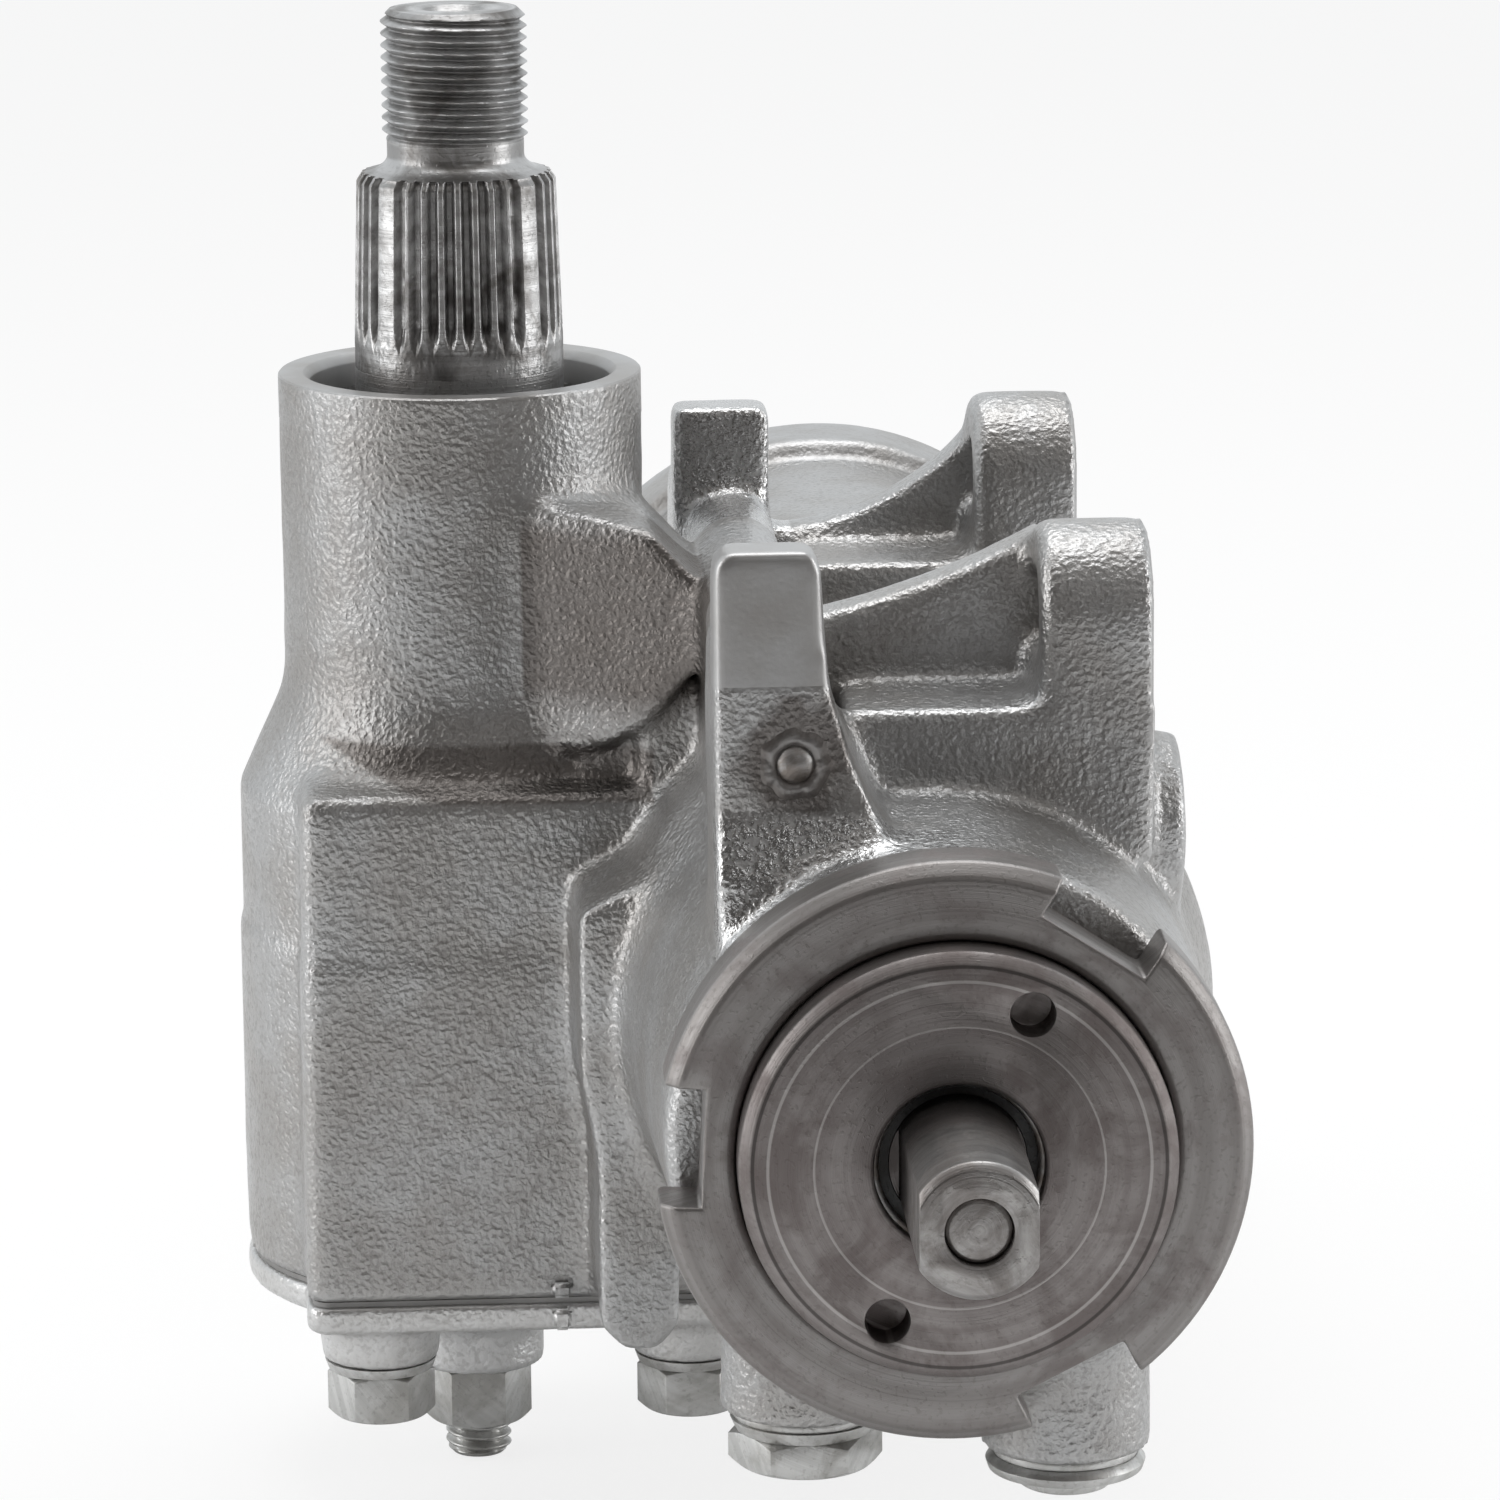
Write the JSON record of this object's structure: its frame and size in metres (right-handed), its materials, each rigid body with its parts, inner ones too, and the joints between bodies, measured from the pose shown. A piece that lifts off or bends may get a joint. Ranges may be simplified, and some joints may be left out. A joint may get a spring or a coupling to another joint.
{
  "type": "steering gearbox",
  "caption": "Integral power steering gearbox: recirculating-ball worm and rack piston turn a splined sector shaft; cast case with frame ears.",
  "frame": {"origin": "middle of the two frame bolt holes, on the pad plane of the right-hand ears", "axes": "+X out of the frame pads towards the frame rail, +Y along the worm axis from the input shaft to the closed rear end, +Z along the sector shaft towards its thread"},
  "size_m": [0.1495, 0.3405, 0.2282],
  "materials": {
    "cast_paint": "rough casting under thin satin metallic grey paint",
    "machined_steel": "turned steel, warm dark grey with a trace of oil",
    "shaft_steel": "bare hardened steel, streaked and slightly oiled",
    "internal_steel": "ground bearing and spring steel",
    "seal_rubber": "black nitrile rubber and seal plastic",
    "seat_brass": "plain turned brass and bronze",
    "gasket": "dark pressed fibre gasket"
  },
  "bodies": {
    "housing": {"gear_housing": "cast_paint", "side_cover": "cast_paint", "side_cover_gasket": "gasket", "side_cover_bolts": "cast_paint", "lash_adjuster_screw": "machined_steel", "lash_adjuster_nut": "cast_paint", "sector_bushing": "seat_brass", "adjuster_plug": "machined_steel", "adjuster_plug_seal": "seal_rubber", "adjuster_locknut": "machined_steel", "input_needle_bearing": "internal_steel", "input_retaining_ring": "internal_steel", "input_dust_seal": "seal_rubber", "input_shaft_seal": "seal_rubber", "upper_thrust_bearing": "internal_steel", "lower_thrust_bearing": "internal_steel", "sector_bearing": "internal_steel", "sector_shaft_seal": "seal_rubber", "sector_seal_washer": "internal_steel", "dust_seal_washer": "internal_steel", "sector_dust_seal": "seal_rubber", "sector_retaining_ring": "internal_steel", "port_washer_left": "cast_paint", "port_washer_right": "cast_paint", "pressure_port_plug": "cast_paint", "return_port_cap": "cast_paint", "port_seats": "seat_brass", "rear_end_plug": "machined_steel", "rear_end_seal": "seal_rubber", "rear_retaining_ring": "internal_steel", "oil_passage_ball": "cast_paint"},
    "worm": {"worm_shaft": "shaft_steel", "valve_body": "shaft_steel", "valve_body_rings": "seal_rubber", "torsion_bar": "shaft_steel", "valve_drive_pin": "internal_steel"},
    "input_shaft": {"stub_shaft": "shaft_steel", "valve_spool": "shaft_steel"},
    "piston": {"rack_piston": "shaft_steel", "piston_ring": "seal_rubber", "piston_end_plug": "internal_steel", "recirculating_balls": "internal_steel", "ball_return_guide": "internal_steel", "return_guide_clamp": "internal_steel", "worm_oil_damper": "seal_rubber"},
    "sector": {"sector_shaft": "shaft_steel"}
  },
  "joints": [
    {"name": "piston_slide", "type": "slide", "parent": "housing", "child": "piston", "axis": [0, 1, 0], "range_m": [-0.0202, 0.0202]},
    {"name": "worm_turn", "type": "hinge", "parent": "housing", "child": "worm", "pos_m": [-0.032, -0.0505, -0.0647], "axis": [0, 1, 0], "range_deg": [-560.17, 560.17]},
    {"name": "valve_twist", "type": "hinge", "parent": "worm", "child": "input_shaft", "pos_m": [-0.032, -0.0705, -0.0647], "axis": [0, 1, 0], "range_deg": [-5, 5], "stiffness_Nm_per_rad": 80},
    {"name": "sector_turn", "type": "hinge", "parent": "housing", "child": "sector", "pos_m": [-0.0965, 0.0255, -0.0647], "axis": [0, 0, 1], "range_deg": [-38.2, 38.2]}
  ],
  "couplings": [
    {"joint": "worm_turn", "follows": "piston_slide", "rad_per_m": -483.32},
    {"joint": "sector_turn", "follows": "piston_slide", "rad_per_m": 32.787}
  ]
}
